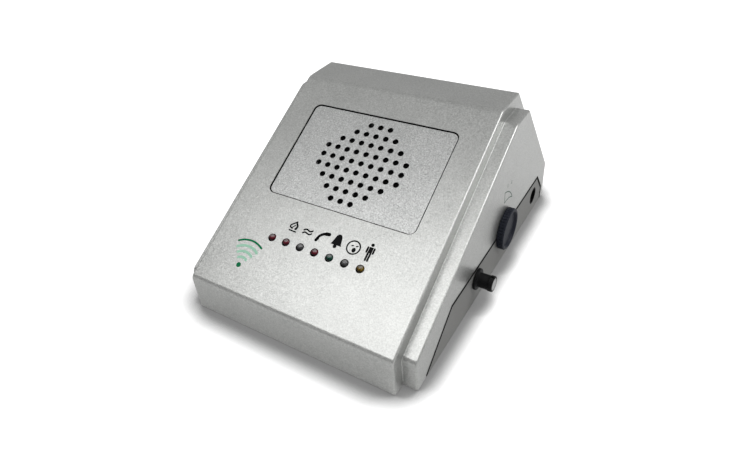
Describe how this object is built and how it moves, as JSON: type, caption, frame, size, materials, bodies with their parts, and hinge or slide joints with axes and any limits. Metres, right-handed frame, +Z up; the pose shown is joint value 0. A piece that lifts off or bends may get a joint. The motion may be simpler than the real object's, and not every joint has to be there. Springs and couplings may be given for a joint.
{
  "type": "alarm signal receiver",
  "caption": "Sloped desk console that receives radio alarm signals: perforated speaker panel, row of indicator LEDs, side volume dial and control knob, and a power inlet.",
  "frame": {"origin": "centre of the case's footprint on the table, on its plane of symmetry", "axes": "+Z up, front wall towards -Y, controls and power inlet on the +X side"},
  "size_m": [0.1684, 0.2298, 0.104],
  "materials": {
    "silver_paint": "fine metallic speckle paint",
    "grey_plastic": "matt",
    "black_plastic": "satin",
    "dial_plastic": "satin",
    "cap_plastic": "satin",
    "red_lens": "clear tinted",
    "clear_lens": "clear",
    "green_lens": "clear tinted",
    "yellow_lens": "clear tinted",
    "cloth": "woven",
    "foam": "matt",
    "steel": "plated",
    "paper": "matt",
    "ferrite": "matt",
    "board": "satin",
    "component": "satin",
    "copper": "plain",
    "brass": "plated",
    "rubber": "matt",
    "wire": "insulated"
  },
  "bodies": {
    "case": {"top_cover": "silver_paint", "base_tray": "grey_plastic", "speaker_panel": "silver_paint", "speaker_cloth": "cloth", "speaker_gasket": "foam", "speaker_basket": "steel", "speaker_cone": "paper", "speaker_magnet": "ferrite", "speaker_clips": "steel", "speaker_screws": "steel", "led_board": "board", "led_board_screws": "steel", "red_leds": "red_lens", "clear_leds": "clear_lens", "green_led": "green_lens", "yellow_led": "yellow_lens", "led_leads": "steel", "main_board": "board", "board_parts": "component", "radio_module": "steel", "aerial": "copper", "board_screws": "steel", "control_bracket": "steel", "bracket_screws": "steel", "volume_pot": "steel", "control_pot": "steel", "pot_nuts": "brass", "power_inlet": "black_plastic", "inlet_pin": "steel", "case_screws": "steel", "rubber_feet": "rubber", "wiring": "wire"},
    "volume_control": {"volume_dial": "dial_plastic", "volume_shaft": "steel"},
    "tone_control": {"control_knob": "black_plastic", "knob_cap": "cap_plastic", "control_shaft": "steel"}
  },
  "joints": [
    {"name": "volume_turn", "type": "hinge", "parent": "case", "child": "volume_control", "pos_m": [0, 0.0175, 0.027], "axis": [1, 0, 0], "range_deg": [-150, 150]},
    {"name": "tone_turn", "type": "hinge", "parent": "case", "child": "tone_control", "pos_m": [0, -0.027, 0.0184], "axis": [1, 0, 0], "range_deg": [-150, 150]}
  ]
}
